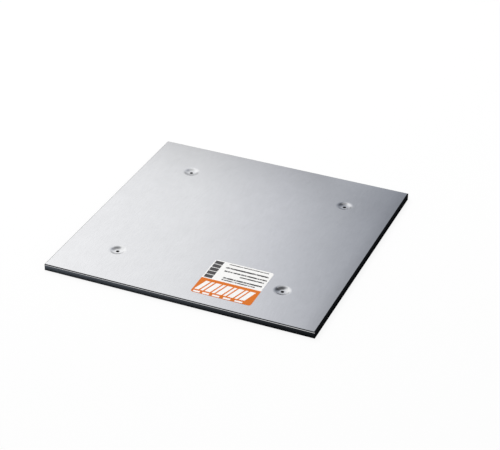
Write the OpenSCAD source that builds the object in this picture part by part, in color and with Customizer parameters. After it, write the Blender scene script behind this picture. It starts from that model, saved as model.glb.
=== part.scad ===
/* [Sheet] */
// Outside width of the plate, left to right
plate_w = 500; // [400:5:1000]
// Outside depth of the plate, front to back
plate_d = 500; // [300:5:1000]
// Height of the plate, from the free edge of its rims up to its face
rim_h = 12; // [10:0.5:30]
// Thickness of the steel sheet
sheet_t = 0.5; // [0.4:0.05:1]
// Inside radius of the fold between the face and each rim
fold_r = 0.5; // [0.3:0.1:3]

/* [Corners] */
// Width of the mitred seam that stays open where two rims meet
seam_gap = 0.4; // [0.2:0.05:0.8]
// Diameter of the relief hole that ends each seam in the face
relief_d = 1.2; // [1:0.1:3]

/* [Screw dimples] */
// Distance of each screw hole from the two nearest sides of the plate
hole_inset = 94; // [50:1:110]
// Diameter of each screw hole
hole_d = 5; // [3:0.1:8]
// Width of the flat ring that the screw head sits on, from the hole to the rounded root
seat_w = 1.2; // [0.5:0.1:6]
// Depth of each dimple, from the face down to the flat ring
dimple_depth = 3.2; // [1.5:0.1:4.5]
// Part of the wall's curve that belongs to the hollow root, the rest being the shoulder
root_share = 0.6; // [0.3:0.05:0.7]

/* [Label] */
// Width of the stick-on label, left to right
label_w = 110; // [60:1:120]
// Depth of the stick-on label, front to back
label_d = 109; // [60:1:120]
// Thickness of the label
label_t = 0.15; // [0.1:0.05:0.3]
// Radius of the label's die-cut corners
label_corner_r = 5; // [2:0.5:10]
// Clear face between the label and the dimple on its right
label_dimple_gap = 15; // [4:0.5:30]
// Clear face between the label and the front side of the plate
label_front_gap = 27.5; // [10:0.5:40]

/* [Hidden] */
$fn = 96;

// Outside radius of the folds, which is also how far they reach in from the plate's sides
fold_outer_r = fold_r + sheet_t;
// Places of the screw holes
hole_x = plate_w / 2 - hole_inset;
hole_y = plate_d / 2 - hole_inset;
hole_places = [for (x = [-hole_x, hole_x], y = [-hole_y, hole_y]) [x, y]];
// The wall is two arcs that meet at its steepest point, where it rises 8 mm in every 15 mm
steep_rise = 8;
steep_run = 15;
steep_length = norm([steep_rise, steep_run]);
// Sum of the two arcs' radii, and the width of the wall
wall_radii = dimple_depth / (1 - steep_run / steep_length);
wall_w = wall_radii * steep_rise / steep_length;
root_r = wall_radii * root_share;
shoulder_r = wall_radii - root_r;
// Radii where the flat ring of a dimple ends, and where its wall runs out in the face
seat_r = hole_d / 2 + seat_w;
dimple_r = seat_r + wall_w;
// Middle of the label
label_x = hole_x - dimple_r - label_dimple_gap - label_w / 2;
label_y = -plate_d / 2 + label_front_gap + label_d / 2;

// Corner of a wedge, a whole number of steps along a direction and well outside the ring
function wedge_corner(outer_r, direction) = direction * ceil(2 * outer_r / norm(direction));

// Ring of sheet thickness between two radii, cut to the wedge between two directions
module bent_strip(outer_r, from_direction, to_direction) {
    intersection() {
        difference() {
            circle(r = outer_r);
            circle(r = outer_r - sheet_t);
        }
        polygon([
            [0, 0],
            wedge_corner(outer_r, from_direction),
            wedge_corner(outer_r, to_direction)
        ]);
    }
}

// Section of one rim: its upright leg and the fold at its top, with the outside at x = 0
module rim_section() {
    square([sheet_t, rim_h - fold_outer_r]);
    translate([fold_outer_r, rim_h - fold_outer_r])
        bent_strip(fold_outer_r, [0, 1], [-1, 0]);
}

// One rim along X, mitred at both ends and short of the mitre by half the seam
module rim(length) {
    half_l = length / 2 - seam_gap / sqrt(2);
    intersection() {
        rotate([90, 0, 90])
            linear_extrude(height = length, center = true)
                rim_section();
        linear_extrude(height = rim_h)
            polygon([
                [-half_l, 0],
                [half_l, 0],
                [half_l - fold_outer_r, fold_outer_r],
                [fold_outer_r - half_l, fold_outer_r]
            ]);
    }
}

module rims() {
    for (turn = [0, 180]) {
        rotate(turn) translate([0, -plate_d / 2]) rim(plate_w);
        rotate(turn + 90) translate([0, -plate_w / 2]) rim(plate_d);
    }
}

// Half section of a dimple, with the face at y = 0: flat ring, hollow root and rounded shoulder
module dimple_section() {
    translate([hole_d / 2, -dimple_depth - sheet_t])
        square([seat_w, sheet_t]);
    translate([seat_r, root_r - dimple_depth])
        bent_strip(root_r + sheet_t, [0, -1], [steep_rise, -steep_run]);
    translate([dimple_r, -shoulder_r])
        bent_strip(shoulder_r, [0, 1], [-steep_rise, steep_run]);
}

// The flat face between the folds, pierced where the dimples are pressed
module face() {
    flat_w = plate_w - 2 * fold_outer_r;
    flat_d = plate_d - 2 * fold_outer_r;
    translate([0, 0, rim_h - sheet_t])
        linear_extrude(height = sheet_t)
            difference() {
                square([flat_w, flat_d], center = true);
                for (place = hole_places) translate(place) circle(r = dimple_r);
            }
}

// Relief holes in the folds at the corners of the flat face, where the seams run out
module corner_reliefs() {
    for (x = [-1, 1], y = [-1, 1])
        translate([
            x * (plate_w / 2 - fold_outer_r),
            y * (plate_d / 2 - fold_outer_r),
            rim_h - fold_outer_r
        ])
            cylinder(d = relief_d, h = 2 * fold_outer_r);
}

// The whole sheet, folded and pressed from one blank
module shield_plate() {
    color("silver")
        difference() {
            union() {
                rims();
                face();
                for (place = hole_places)
                    translate([place.x, place.y, rim_h])
                        rotate_extrude()
                            dimple_section();
            }
            corner_reliefs();
        }
}

// Stick-on label, lying flat on the face
module label() {
    straight_w = label_w - 2 * label_corner_r;
    straight_d = label_d - 2 * label_corner_r;
    color("white")
        translate([label_x, label_y, rim_h])
            linear_extrude(height = label_t) {
                square([straight_w, label_d], center = true);
                square([label_w, straight_d], center = true);
                for (x = [-1, 1], y = [-1, 1])
                    translate([x * straight_w / 2, y * straight_d / 2])
                        circle(r = label_corner_r);
            }
}

shield_plate();
label();
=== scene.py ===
import math

import bpy
from mathutils import Matrix, Vector


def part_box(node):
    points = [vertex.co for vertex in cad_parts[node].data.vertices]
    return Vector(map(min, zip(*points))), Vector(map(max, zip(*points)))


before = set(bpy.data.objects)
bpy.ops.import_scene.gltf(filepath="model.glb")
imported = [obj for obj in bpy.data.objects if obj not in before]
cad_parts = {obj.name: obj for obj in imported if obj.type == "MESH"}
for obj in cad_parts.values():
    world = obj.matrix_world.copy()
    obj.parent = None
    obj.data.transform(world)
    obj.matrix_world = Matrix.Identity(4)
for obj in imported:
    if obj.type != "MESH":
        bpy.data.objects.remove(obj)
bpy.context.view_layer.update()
print("frame loaded")

mm = 0.001
scene = bpy.context.scene
scene.view_settings.view_transform = "Standard"
plateLow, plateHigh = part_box("shield_plate")
labelLow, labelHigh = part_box("label")


# Camera, matched to the plate's sides and screw holes
cameraSpec = {
    "azimuth": 22.0,        # degrees round from the front side towards the right
    "elevation": 30.98,     # degrees
    "roll": 1.36,           # degrees
    "distance": 2821.3 * mm,
    "target": Vector((15.6 * mm, 37.8 * mm, 0.0)),
    "lens": 111.19,         # mm
}


def makeCamera(spec):
    azimuth, elevation, roll = (math.radians(spec[key]) for key in ("azimuth", "elevation", "roll"))
    back = Vector((math.sin(azimuth) * math.cos(elevation),
                   -math.cos(azimuth) * math.cos(elevation),
                   math.sin(elevation)))
    right = back.cross(Vector((0, 0, -1))).normalized()
    up = back.cross(right)
    turn = Matrix.Rotation(roll, 3, back)
    axes = Matrix((turn @ right, turn @ up, back)).transposed()
    camera = bpy.data.objects.new("studioCamera", bpy.data.cameras.new("studioCamera"))
    camera.data.lens = spec["lens"]
    camera.matrix_world = Matrix.Translation(spec["target"] + back * spec["distance"]) @ axes.to_4x4()
    scene.collection.objects.link(camera)
    scene.camera = camera


makeCamera(cameraSpec)
print("camera placed")


# Adds nodes to one tree and joins them; a value may be a number, a colour or another node's output
class NodeTree:
    def __init__(self, tree):
        self.tree = tree
        tree.nodes.clear()

    def feed(self, socket, value):
        if isinstance(value, bpy.types.NodeSocket):
            self.tree.links.new(value, socket)
        elif socket.type == "RGBA" and len(value) == 3:
            socket.default_value = (*value, 1.0)
        else:
            socket.default_value = value

    def add(self, kind, inputs=None, **settings):
        node = self.tree.nodes.new("ShaderNode" + kind)
        for name, value in settings.items():
            setattr(node, name, value)
        for name, value in (inputs or {}).items():
            self.feed(node.inputs[name], value)
        return node

    def math(self, operation, *values, clamp=False):
        node = self.add("Math", operation=operation, use_clamp=clamp)
        for socket, value in zip(node.inputs, values):
            self.feed(socket, value)
        return node.outputs[0]

    def product(self, first, *others):
        for other in others:
            first = self.math("MULTIPLY", first, other)
        return first

    def highest(self, first, *others):
        for other in others:
            first = self.math("MAXIMUM", first, other)
        return first

    # Runs smoothly from one value to another as the input goes from start to end
    def fade(self, value, start, end, fromValue=0.0, toValue=1.0, smooth=True):
        node = self.add("MapRange", {"Value": value, "From Min": start, "From Max": end,
                                     "To Min": fromValue, "To Max": toValue})
        if smooth:
            node.interpolation_type = "SMOOTHSTEP"
        return node.outputs["Result"]

    def mixColor(self, factor, first, second, blend="MIX"):
        node = self.add("Mix", data_type="RGBA", blend_type=blend)
        self.feed(node.inputs[0], factor)
        self.feed(node.inputs[6], first)
        self.feed(node.inputs[7], second)
        return node.outputs[2]

    # A colour made lighter or darker by a value
    def shaded(self, color, value):
        grey = self.add("CombineColor", {0: value, 1: value, 2: value})
        return self.mixColor(1.0, color, grey.outputs[0], "MULTIPLY")

    def mixValue(self, factor, first, second):
        node = self.add("Mix", data_type="FLOAT")
        self.feed(node.inputs[0], factor)
        self.feed(node.inputs[2], first)
        self.feed(node.inputs[3], second)
        return node.outputs[0]


def newMaterial(name):
    material = bpy.data.materials.new(name)
    material.use_nodes = True
    return material, NodeTree(material.node_tree)


# A node group with its named inputs, and a tree to build it in
def newGroup(name, inputs, outputs):
    tree = bpy.data.node_groups.new(name, "ShaderNodeTree")
    for title, kind, value in inputs:
        socket = tree.interface.new_socket(title, in_out="INPUT", socket_type="NodeSocket" + kind)
        if value is not None:
            socket.default_value = value
    for title, kind in outputs:
        tree.interface.new_socket(title, in_out="OUTPUT", socket_type="NodeSocket" + kind)
    inside = NodeTree(tree)
    source = tree.nodes.new("NodeGroupInput").outputs
    target = tree.nodes.new("NodeGroupOutput").inputs
    return tree, inside, source, target


def useGroup(inside, group, inputs):
    node = inside.tree.nodes.new("ShaderNodeGroup")
    node.node_tree = group
    for name, value in inputs.items():
        inside.feed(node.inputs[name], value)
    return node.outputs


# Fine grain drawn out along Y, and a slow unevenness, both from -1 to 1
def makeGrainGroup():
    tree, inside, source, target = newGroup(
        "surfaceGrain",
        [("Position", "Vector", None), ("Fineness", "Float", 900.0),
         ("Stretch", "Float", 1.0), ("Patch Size", "Float", 0.1)],
        [("Grain", "Float"), ("Patches", "Float")])
    squeeze = inside.add("CombineXYZ", {"X": source["Fineness"],
                                        "Y": inside.math("DIVIDE", source["Fineness"], source["Stretch"]),
                                        "Z": source["Fineness"]})
    drawn = inside.add("VectorMath", {0: source["Position"], 1: squeeze.outputs[0]}, operation="MULTIPLY")
    grain = inside.add("TexNoise", {"Vector": drawn.outputs[0], "Scale": 1.0, "Detail": 3.0})
    patches = inside.add("TexNoise", {"Vector": source["Position"], "Detail": 2.0,
                                      "Scale": inside.math("DIVIDE", 1.0, source["Patch Size"])})
    for name, noise in (("Grain", grain), ("Patches", patches)):
        inside.feed(target[name], inside.math("MULTIPLY_ADD", noise.outputs[0], 2.0, -1.0))
    return tree


# One if a value lies between two limits, with soft ends
def makeBandGroup():
    tree, inside, source, target = newGroup(
        "softBand",
        [("Value", "Float", 0.0), ("Low", "Float", 0.0),
         ("High", "Float", 1.0), ("Softness", "Float", 0.1)],
        [("Mask", "Float")])
    above = inside.math("SUBTRACT", source["Value"], source["Low"])
    below = inside.math("SUBTRACT", source["High"], source["Value"])
    rise = inside.math("ADD", inside.math("DIVIDE", above, source["Softness"]), 0.5, clamp=True)
    fall = inside.math("ADD", inside.math("DIVIDE", below, source["Softness"]), 0.5, clamp=True)
    inside.feed(target["Mask"], inside.math("MULTIPLY", rise, fall))
    return tree


surfaceGrain = makeGrainGroup()
softBand = makeBandGroup()


# Steel sheet: satin face; the dark on the legs below the folded edges is painted reflection and shade
steelSpec = {
    "color": (0.795, 0.80, 0.81),
    "roughness": 0.16,
    "grain": {"Fineness": 560.0, "Stretch": 10.0, "Patch Size": 26 * mm},
    "grainColor": 0.060,        # how far the fine grain and the slow patches shift the colour
    "patchColor": 0.036,
    "grainRoughness": 0.03,
    "waviness": 0.02,           # strength of the bump
    "foldReach": 1.1 * mm,      # how far the folds reach in from the sides, and a little over
    "frontReach": 1.5 * mm,     # how far the painted shade of the folds reaches onto the face at the front and right
    "rightReach": 1.5 * mm,
    "legTop": 10.0 * mm,        # height where the painted dark reflection on the leg ends at front and back
    "sideLegTop": 13.0 * mm,    # the same at the sides
    "legSoftness": 0.6 * mm,
    "legCreep": 0.0008,         # how it climbs from left to right
    "legTint": (0.88, 1.0, 1.17),
    "legBottom": 0.021,         # brightness of the painted reflection at the free edge and at the top
    "legHigh": 0.085,
    "legLeft": 1.35,            # painted light: its change from the left end to the right
    "legRight": 0.22,
    "sideLeg": 0.10,            # painted shade: brightness of the side legs against the front one
    "legPatches": 0.15,
    "foldShadeLow": 10.75 * mm,    # painted shade: a dark line in the fold
    "foldShadeHigh": 13.0 * mm,
    "foldShadeSoftness": 0.3 * mm,
    "foldShadeCreep": 0.0014,
    "paintedShadeColor": (0.02, 0.021, 0.023),
    "edgeShade": (220 * mm, 250 * mm, 0.88),    # painted shade: the face darkens towards its right edge
    "holePlace": 156 * mm,      # screw holes, from the middle planes
    "holeShade": (3.0 * mm, 3.4 * mm),          # radii between which the painted shade at their edges fades
    "crescent": (5.0 * mm, 7.2 * mm, 10.4 * mm, 12.8 * mm),     # painted shade on the dimples' far walls
    "crescentSide": (-0.66, 0.75),      # direction of its middle, and how it fades to its ends
    "crescentEnds": (0.45, 0.95),
    "crescentDepth": (0.56, 0.7),       # its strength, and how that grows to the right
    "crescentBack": 0.42,               # share of it in the back dimples
}


# Masks for the painted shade: one on the outside of the rims and on the strip of face beside the fold, and
# one on the side rims
def markOutside(tree, spec, position, normal, lift):
    nearTop = 0.02 * mm
    stripFacing, leastFacing = 0.1, 0.05
    onTop = tree.math("GREATER_THAN", position["Z"], plateHigh.z - nearTop)

    # How squarely a point looks outwards; the strip counts as looking a little outwards
    def outward(axis, half, darkEnd, reach):
        facing = tree.product(normal[axis], tree.math("SIGN", position[axis]))
        nearEdge = tree.math("GREATER_THAN", tree.math("ABSOLUTE", position[axis]), half - spec["foldReach"])
        along = tree.math("MULTIPLY_ADD", position[axis], darkEnd, lift)
        strip = tree.product(tree.math("GREATER_THAN", along, half - reach), onTop, stripFacing)
        return tree.highest(tree.product(facing, nearEdge), strip)

    toSide = outward("X", plateHigh.x, 1.0, spec["rightReach"])
    toFront = outward("Y", plateHigh.y, -1.0, spec["frontReach"])
    outside = tree.math("GREATER_THAN", tree.highest(toSide, toFront), leastFacing)
    return outside, tree.math("GREATER_THAN", toSide, toFront)


# Painted shade at the edges of the screw holes, and painted shade crescents in their dimples
def markDimples(tree, spec, position):
    def fromHole(axis):
        hole = tree.product(tree.math("SIGN", position[axis]), spec["holePlace"])
        return tree.math("SUBTRACT", position[axis], hole)

    offX, offY = fromHole("X"), fromHole("Y")
    radius = tree.math("SQRT", tree.math("MULTIPLY_ADD", offX, offX, tree.product(offY, offY)))
    atHole = tree.fade(radius, *spec["holeShade"], 1.0, 0.0)

    inner, fullFrom, fullTo, outer = spec["crescent"]
    ring = tree.product(tree.fade(radius, inner, fullFrom), tree.fade(radius, fullTo, outer, 1.0, 0.0))
    sideX, sideY = spec["crescentSide"]
    towards = tree.math("MULTIPLY_ADD", offX, sideX, tree.product(offY, sideY))
    towards = tree.math("DIVIDE", towards, radius)
    depth, growth = spec["crescentDepth"]
    crescent = tree.product(ring, tree.fade(towards, *spec["crescentEnds"]),
                            tree.fade(position["Y"], -10 * mm, 10 * mm, 1.0, spec["crescentBack"]),
                            tree.math("MULTIPLY_ADD", position["X"], growth, depth))
    return atHole, crescent


def makeSteel(spec):
    material, tree = newMaterial("satinSteelSheet")
    place = tree.add("TexCoord").outputs
    position = tree.add("SeparateXYZ", {0: place["Object"]}).outputs
    normal = tree.add("SeparateXYZ", {0: place["Normal"]}).outputs
    height = position["Z"]

    foldShadeLift = tree.product(position["X"], spec["foldShadeCreep"])
    legLift = tree.product(position["X"], spec["legCreep"])
    outside, onSide = markOutside(tree, spec, position, normal, foldShadeLift)
    # Mask for the painted dark reflection on the legs
    leg = useGroup(tree, softBand, {
        "Value": tree.math("SUBTRACT", height, legLift),
        "Low": -1.0,
        "High": tree.mixValue(onSide, spec["legTop"], spec["sideLegTop"]),
        "Softness": spec["legSoftness"],
    })["Mask"]
    leg = tree.product(leg, outside)
    # Mask for the painted shade line in the fold
    foldShade = useGroup(tree, softBand, {
        "Value": tree.math("SUBTRACT", height, foldShadeLift),
        "Low": spec["foldShadeLow"],
        "High": spec["foldShadeHigh"],
        "Softness": spec["foldShadeSoftness"],
    })["Mask"]
    foldShade = tree.product(foldShade, outside)

    grain = useGroup(tree, surfaceGrain, {"Position": place["Object"], **spec["grain"]})
    tone = tree.math("MULTIPLY_ADD", grain["Grain"], spec["grainColor"], 1.0)
    tone = tree.math("MULTIPLY_ADD", grain["Patches"], spec["patchColor"], tone)
    steel = tree.shaded(spec["color"], tone)
    # Painted shade towards the face's right edge
    start, end, least = spec["edgeShade"]
    steel = tree.shaded(steel, tree.fade(position["X"], start, end, 1.0, least))
    atHole, crescent = markDimples(tree, spec, position)
    # Painted shade: crescents on the dimples' far walls, a line in the fold and rings round the screw holes
    steel = tree.mixColor(crescent, steel, spec["paintedShadeColor"])
    steel = tree.mixColor(tree.highest(foldShade, atHole), steel, spec["paintedShadeColor"])

    # Painted reflection on the legs: darker at the free edge, lighter towards the left end, darker still on
    # the side legs
    upLeg = tree.fade(height, 0.0, spec["legTop"], spec["legBottom"], spec["legHigh"])
    alongLeg = tree.fade(position["X"], plateLow.x, plateHigh.x, spec["legLeft"], spec["legRight"],
                         smooth=False)
    shade = tree.product(upLeg, tree.mixValue(onSide, alongLeg, spec["sideLeg"]),
                         tree.math("MULTIPLY_ADD", grain["Patches"], spec["legPatches"], 1.0))
    color = tree.mixColor(leg, steel, tree.shaded(spec["legTint"], shade))

    bump = tree.add("Bump", {"Strength": spec["waviness"], "Distance": 1.0 * mm, "Height": grain["Patches"]})
    shader = tree.add("BsdfPrincipled", {
        "Base Color": color,
        "Metallic": tree.math("SUBTRACT", 1.0, leg),
        "Roughness": tree.math("MULTIPLY_ADD", grain["Grain"], spec["grainRoughness"], spec["roughness"]),
        "Specular IOR Level": 0.0,
        "Normal": bump.outputs[0],
    })
    tree.feed(tree.add("OutputMaterial").inputs["Surface"], shader.outputs[0])
    return material


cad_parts["shield_plate"].material_slots[0].material = makeSteel(steelSpec)
print("steel sheet finished")


# Label: every place in the print is in mm from the label's front left corner
labelSpec = {
    "paper": (0.94, 0.935, 0.925),
    "fibre": 0.02,              # how far the paper's grain shifts its colour
    "grain": {"Fineness": 2500.0, "Stretch": 1.0, "Patch Size": 30 * mm},
    "band": (0.72, 0.180, 0.018),
    "bandTop": 48.0,
    "bandPatches": 0.06,
    "ink": (0.045, 0.042, 0.045),
    "roughness": 0.42,
    "roughnessPatches": 0.05,
    "fibreBump": 0.05,
    # white bars that lean over in the band, left and right
    "bars": [(3, 11), (14, 19), (22, 32), (35, 40), (43, 53), (56, 61), (64, 74), (77, 82), (85, 95)],
    "barRows": (10.0, 40.0),
    "barSlant": 0.30,
    "dashes": [(4, 16), (21, 33), (39, 52), (59, 72), (80, 94)],        # white dashes below them
    "dashRows": (1.5, 6.0),
    "blocks": [(50.5, 60.5), (62.0, 72.0), (73.5, 83.5), (85.0, 95.0), (96.5, 106.5)],
    "blockSides": (2.0, 17.5),
    "blockInk": 0.96,
    # dark lines: left, right, height of the middle, weight
    "lines": [(28, 102, 104.0, 2.4), (26, 106, 92.5, 4.2), (28, 107, 81.5, 3.8),
              (60, 105, 73.0, 3.4), (34, 106, 61.0, 4.0), (34, 96, 54.5, 3.0)],
    "gapCell": (2.2, 4.0),      # size of the cells that break the lines
    "gapInk": (0.05, 0.35, 0.45, 1.0),
}


# A printed block between four sides, leaning over by its slant
def makePrintGroup():
    tree, inside, source, target = newGroup(
        "printBlock",
        [("Across", "Float", 0.0), ("Up", "Float", 0.0), ("Left", "Float", 0.0),
         ("Right", "Float", 1.0), ("Bottom", "Float", 0.0), ("Top", "Float", 1.0),
         ("Slant", "Float", 0.0), ("Softness", "Float", 0.25)],
        [("Mask", "Float")])
    lean = inside.math("MULTIPLY", inside.math("SUBTRACT", source["Up"], source["Bottom"]), source["Slant"])
    across = inside.math("SUBTRACT", source["Across"], lean)
    sides = useGroup(inside, softBand, {"Value": across, "Low": source["Left"], "High": source["Right"],
                                        "Softness": source["Softness"]})
    ends = useGroup(inside, softBand, {"Value": source["Up"], "Low": source["Bottom"], "High": source["Top"],
                                       "Softness": source["Softness"]})
    inside.feed(target["Mask"], inside.math("MULTIPLY", sides["Mask"], ends["Mask"]))
    return tree


def makeLabel(spec):
    printBlock = makePrintGroup()
    material, tree = newMaterial("printedLabelPaper")
    place = tree.add("TexCoord").outputs
    position = tree.add("SeparateXYZ", {0: place["Object"]}).outputs
    across = tree.math("DIVIDE", tree.math("SUBTRACT", position["X"], labelLow.x), mm)
    up = tree.math("DIVIDE", tree.math("SUBTRACT", position["Y"], labelLow.y), mm)

    def block(left, right, bottom, top, slant=0.0):
        return useGroup(tree, printBlock, {"Across": across, "Up": up, "Left": left, "Right": right,
                                           "Bottom": bottom, "Top": top, "Slant": slant})["Mask"]

    grain = useGroup(tree, surfaceGrain, {"Position": place["Object"], **spec["grain"]})
    paper = tree.shaded(spec["paper"], tree.math("MULTIPLY_ADD", grain["Grain"], spec["fibre"], 1.0))

    # The band runs out past the label's edges
    band = block(-5.0, 200.0, -5.0, spec["bandTop"])
    white = tree.highest(
        *[block(left, right, *spec["barRows"], spec["barSlant"]) for left, right in spec["bars"]],
        *[block(left, right, *spec["dashRows"]) for left, right in spec["dashes"]])
    inked = tree.math("MULTIPLY_ADD", grain["Patches"], spec["bandPatches"], 1.0)
    color = tree.mixColor(tree.product(band, tree.math("SUBTRACT", 1.0, white)), paper,
                          tree.shaded(spec["band"], inked))

    left, right = spec["blockSides"]
    blocks = tree.highest(*[block(left, right, bottom, top) for bottom, top in spec["blocks"]])
    lines = tree.highest(*[block(start, end, middle - weight / 2, middle + weight / 2)
                           for start, end, middle, weight in spec["lines"]])
    # Short gaps break the lines
    cellWidth, cellHeight = spec["gapCell"]
    steps = tree.add("CombineXYZ", {0: tree.math("DIVIDE", across, cellWidth),
                                    1: tree.math("DIVIDE", up, cellHeight)})
    cells = tree.add("VectorMath", {0: steps.outputs[0]}, operation="FLOOR")
    random = tree.add("TexWhiteNoise", {"Vector": cells.outputs[0]}, noise_dimensions="2D")
    words = tree.fade(random.outputs["Value"], *spec["gapInk"])
    ink = tree.highest(tree.product(blocks, spec["blockInk"]), tree.product(lines, words))
    color = tree.mixColor(ink, color, spec["ink"])

    bump = tree.add("Bump", {"Strength": spec["fibreBump"], "Distance": 0.1 * mm, "Height": grain["Grain"]})
    shader = tree.add("BsdfPrincipled", {
        "Base Color": color,
        "Roughness": tree.math("MULTIPLY_ADD", grain["Patches"], spec["roughnessPatches"], spec["roughness"]),
        "Specular IOR Level": 0.1,
        "Normal": bump.outputs[0],
    })
    tree.feed(tree.add("OutputMaterial").inputs["Surface"], shader.outputs[0])
    return material


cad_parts["label"].material_slots[0].material = makeLabel(labelSpec)
print("label finished")


# Studio: white all round, a pale floor, one wide soft lamp and graded cards that only the steel shows
studioSpec = {
    "fillLight": 0.60,              # what the white surroundings give to matt surfaces
    "floorSize": 12.0,              # m
    "floorDrop": 0.2 * mm,
    "floorColor": (0.96, 0.96, 0.96),
    "floorLit": 0.13,               # share of the floor that takes light and shadow
    "floorBounce": 0.55,            # what the plate's back mirrors of the floor under it
    "floorShade": (0.02, 0.02, 0.02),           # painted shadow: the floor's colour under the plate
    "footShadow": (0.42 * mm, 0.03 * mm),       # widths of the painted shadow line beside the plate, and before and behind it
    "lampPower": 56.0,              # W
    "lampSize": 2.4,                # m
    "lampPlace": Vector((-1.3, 1.1, 2.6)),
    "backCard": {
        "distance": 600 * mm,       # behind the plate's middle
        "left": -1500 * mm,
        "right": 1100 * mm,
        "top": 1000 * mm,
        "lean": 0.10,               # how far the shading moves to the left with height
        "stops": [(-860, (1.13, 1.13, 1.13)), (-560, (1.02, 1.02, 1.03)), (-310, (0.91, 0.915, 0.93)),
                  (-110, (0.70, 0.71, 0.75)), (40, (0.485, 0.50, 0.54)), (160, (0.33, 0.348, 0.39)),
                  (280, (0.185, 0.197, 0.225)), (440, (0.08, 0.083, 0.095))],
        "footShade": 0.53,          # darkening near the floor, and where it starts
        "footHeights": (40 * mm, 360 * mm),
        "footSides": (-1200 * mm, -300 * mm),
        "cornerGlow": 0.34,         # light patch at the foot on the right, and where it lies
        "glowHeights": (185 * mm, 270 * mm),
        "glowSides": (-60 * mm, 30 * mm),
    },
    "topCard": {
        "height": 1000 * mm,
        "left": -1500 * mm,
        "right": 1100 * mm,
        "front": -1500 * mm,
        "back": 600 * mm,
        "stops": [(-900, (1.0, 1.0, 1.0)), (-450, (0.56, 0.565, 0.58)), (-100, (0.34, 0.345, 0.36)),
                  (300, (0.16, 0.165, 0.18))],
    },
    "lowCards": {
        "reach": 2200 * mm,         # from the plate's middle to the left, right and front
        "leftEnd": 300 * mm,        # where the left one ends towards the back
        "top": 1300 * mm,
        "color": (0.95, 0.965, 1.0),
        "shadeHeights": (150 * mm, 1250 * mm),      # dark below, white above
        "shade": 0.30,
    },
}


def seenAsWhite(tree):
    rays = tree.add("LightPath").outputs
    return tree.highest(rays["Is Camera Ray"], rays["Is Glossy Ray"], rays["Is Transmission Ray"])


def makeWorld(spec):
    world = bpy.data.worlds.new("whiteStudio")
    world.use_nodes = True
    scene.world = world
    tree = NodeTree(world.node_tree)
    strength = tree.mixValue(seenAsWhite(tree), spec["fillLight"], 1.0)
    light = tree.add("Background", {"Color": (1.0, 1.0, 1.0), "Strength": strength})
    tree.feed(tree.add("OutputWorld").inputs["Surface"], light.outputs[0])


def addSheet(name, corners, material):
    mesh = bpy.data.meshes.new(name)
    mesh.from_pydata(corners, [], [(0, 1, 2, 3)])
    mesh.materials.append(material)
    sheet = bpy.data.objects.new(name, mesh)
    scene.collection.objects.link(sheet)
    return sheet


def makeFloor(spec):
    material, tree = newMaterial("paleFloor")
    # Painted shadow: the floor stays dark under the plate, as the screw holes show, and in a fine line round
    # its foot
    place = tree.add("SeparateXYZ", {0: tree.add("TexCoord").outputs["Object"]}).outputs
    clear = tree.highest(*[
        tree.math("GREATER_THAN", tree.math("ABSOLUTE", place[axis]), edge + reach)
        for axis, edge, reach in zip("XY", plateHigh, spec["footShadow"])])
    color = tree.mixColor(clear, spec["floorShade"], spec["floorColor"])
    lit = tree.add("BsdfDiffuse", {"Color": color})
    plain = tree.add("Emission", {"Color": (1.0, 1.0, 1.0), "Strength": 1.0})
    mirrored = tree.product(tree.add("LightPath").outputs["Is Glossy Ray"], spec["floorBounce"])
    share = tree.highest(tree.product(seenAsWhite(tree), clear), mirrored)
    share = tree.product(share, 1.0 - spec["floorLit"])
    mixed = tree.add("MixShader", {0: share, 1: lit.outputs[0], 2: plain.outputs[0]})
    # From below the floor can be seen through
    seeThrough = tree.add("BsdfTransparent")
    fromBelow = tree.add("NewGeometry").outputs["Backfacing"]
    sided = tree.add("MixShader", {0: fromBelow, 1: mixed.outputs[0], 2: seeThrough.outputs[0]})
    tree.feed(tree.add("OutputMaterial").inputs["Surface"], sided.outputs[0])
    half, drop = spec["floorSize"] / 2, -spec["floorDrop"]
    corners = [(-half, -half, drop), (half, -half, drop), (half, half, drop), (-half, half, drop)]
    addSheet("paleFloor", corners, material)


def makeLamp(spec):
    lamp = bpy.data.lights.new("softLamp", "AREA")
    lamp.shape = "DISK"
    lamp.size = spec["lampSize"]
    lamp.energy = spec["lampPower"]
    holder = bpy.data.objects.new("softLamp", lamp)
    holder.location = spec["lampPlace"]
    holder.rotation_euler = (-spec["lampPlace"]).to_track_quat("-Z", "Y").to_euler()
    holder.visible_glossy = False
    scene.collection.objects.link(holder)


def onlyInReflections(card):
    card.visible_camera = False
    card.visible_diffuse = False
    card.visible_transmission = False
    card.visible_shadow = False


# Colours along a line, from places in mm
def gradedColor(tree, along, stops):
    first, last = stops[0][0] * mm, stops[-1][0] * mm
    ramp = tree.add("ValToRGB", {"Fac": tree.fade(along, first, last, smooth=False)})
    elements = ramp.color_ramp.elements
    while len(elements) < len(stops):
        elements.new(0.5)
    for element, (place, color) in zip(elements, stops):
        element.position = (place * mm - first) / (last - first)
        element.color = (*color, 1.0)
    return ramp.outputs[0]


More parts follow.
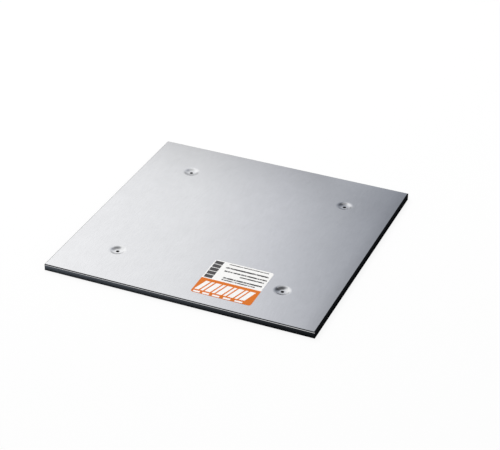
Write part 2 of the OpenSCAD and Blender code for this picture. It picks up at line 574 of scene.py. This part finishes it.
# The card that the face mirrors: light at the left, dark at the right and near the floor
def makeBackCard(spec):
    material, tree = newMaterial("gradedCard")
    position = tree.add("SeparateXYZ", {0: tree.add("TexCoord").outputs["Object"]}).outputs
    across = tree.math("MULTIPLY_ADD", position["Z"], spec["lean"], position["X"])
    color = gradedColor(tree, across, spec["stops"])
    foot = tree.product(tree.fade(position["Z"], *spec["footHeights"], 1.0, 0.0),
                        tree.fade(position["X"], *spec["footSides"]))
    patch = tree.product(tree.fade(position["Z"], *spec["glowHeights"], 1.0, 0.0),
                         tree.fade(position["X"], *spec["glowSides"]))
    strength = tree.math("MULTIPLY_ADD", foot, -spec["footShade"], 1.0)
    strength = tree.math("MULTIPLY_ADD", patch, spec["cornerGlow"], strength)
    glow = tree.add("Emission", {"Color": color, "Strength": strength})
    tree.feed(tree.add("OutputMaterial").inputs["Surface"], glow.outputs[0])
    left, right, back, top = spec["left"], spec["right"], spec["distance"], spec["top"]
    onlyInReflections(addSheet("gradedCard", [(left, back, 0), (right, back, 0), (right, back, top),
                                              (left, back, top)], material))


# The card overhead: light at the back left, dark at the front right
def makeTopCard(spec):
    material, tree = newMaterial("overheadCard")
    position = tree.add("SeparateXYZ", {0: tree.add("TexCoord").outputs["Object"]}).outputs
    color = gradedColor(tree, tree.math("SUBTRACT", position["X"], position["Y"]), spec["stops"])
    glow = tree.add("Emission", {"Color": color, "Strength": 1.0})
    tree.feed(tree.add("OutputMaterial").inputs["Surface"], glow.outputs[0])
    left, right, height = spec["left"], spec["right"], spec["height"]
    front, back = spec["front"], spec["back"]
    onlyInReflections(addSheet("overheadCard", [(left, front, height), (right, front, height),
                                                (right, back, height), (left, back, height)], material))


# Low cards at the left, right and front, so that the face isn't plain white from the sides and behind
def makeLowCards(spec):
    material, tree = newMaterial("lowCards")
    position = tree.add("SeparateXYZ", {0: tree.add("TexCoord").outputs["Object"]}).outputs
    strength = tree.fade(position["Z"], *spec["shadeHeights"], spec["shade"], 1.0)
    glow = tree.add("Emission", {"Color": spec["color"], "Strength": strength})
    tree.feed(tree.add("OutputMaterial").inputs["Surface"], glow.outputs[0])
    reach, top = spec["reach"], spec["top"]
    footLine = [(-reach, spec["leftEnd"]), (-reach, -reach), (reach, -reach), (reach, reach)]
    for side, start, end in zip(("left", "front", "right"), footLine, footLine[1:]):
        corners = [(*start, 0), (*end, 0), (*end, top), (*start, top)]
        onlyInReflections(addSheet(side + "LowCard", corners, material))


makeWorld(studioSpec)
makeFloor(studioSpec)
makeLamp(studioSpec)
makeBackCard(studioSpec["backCard"])
makeTopCard(studioSpec["topCard"])
makeLowCards(studioSpec["lowCards"])
print("studio lit")

bpy.context.view_layer.update()
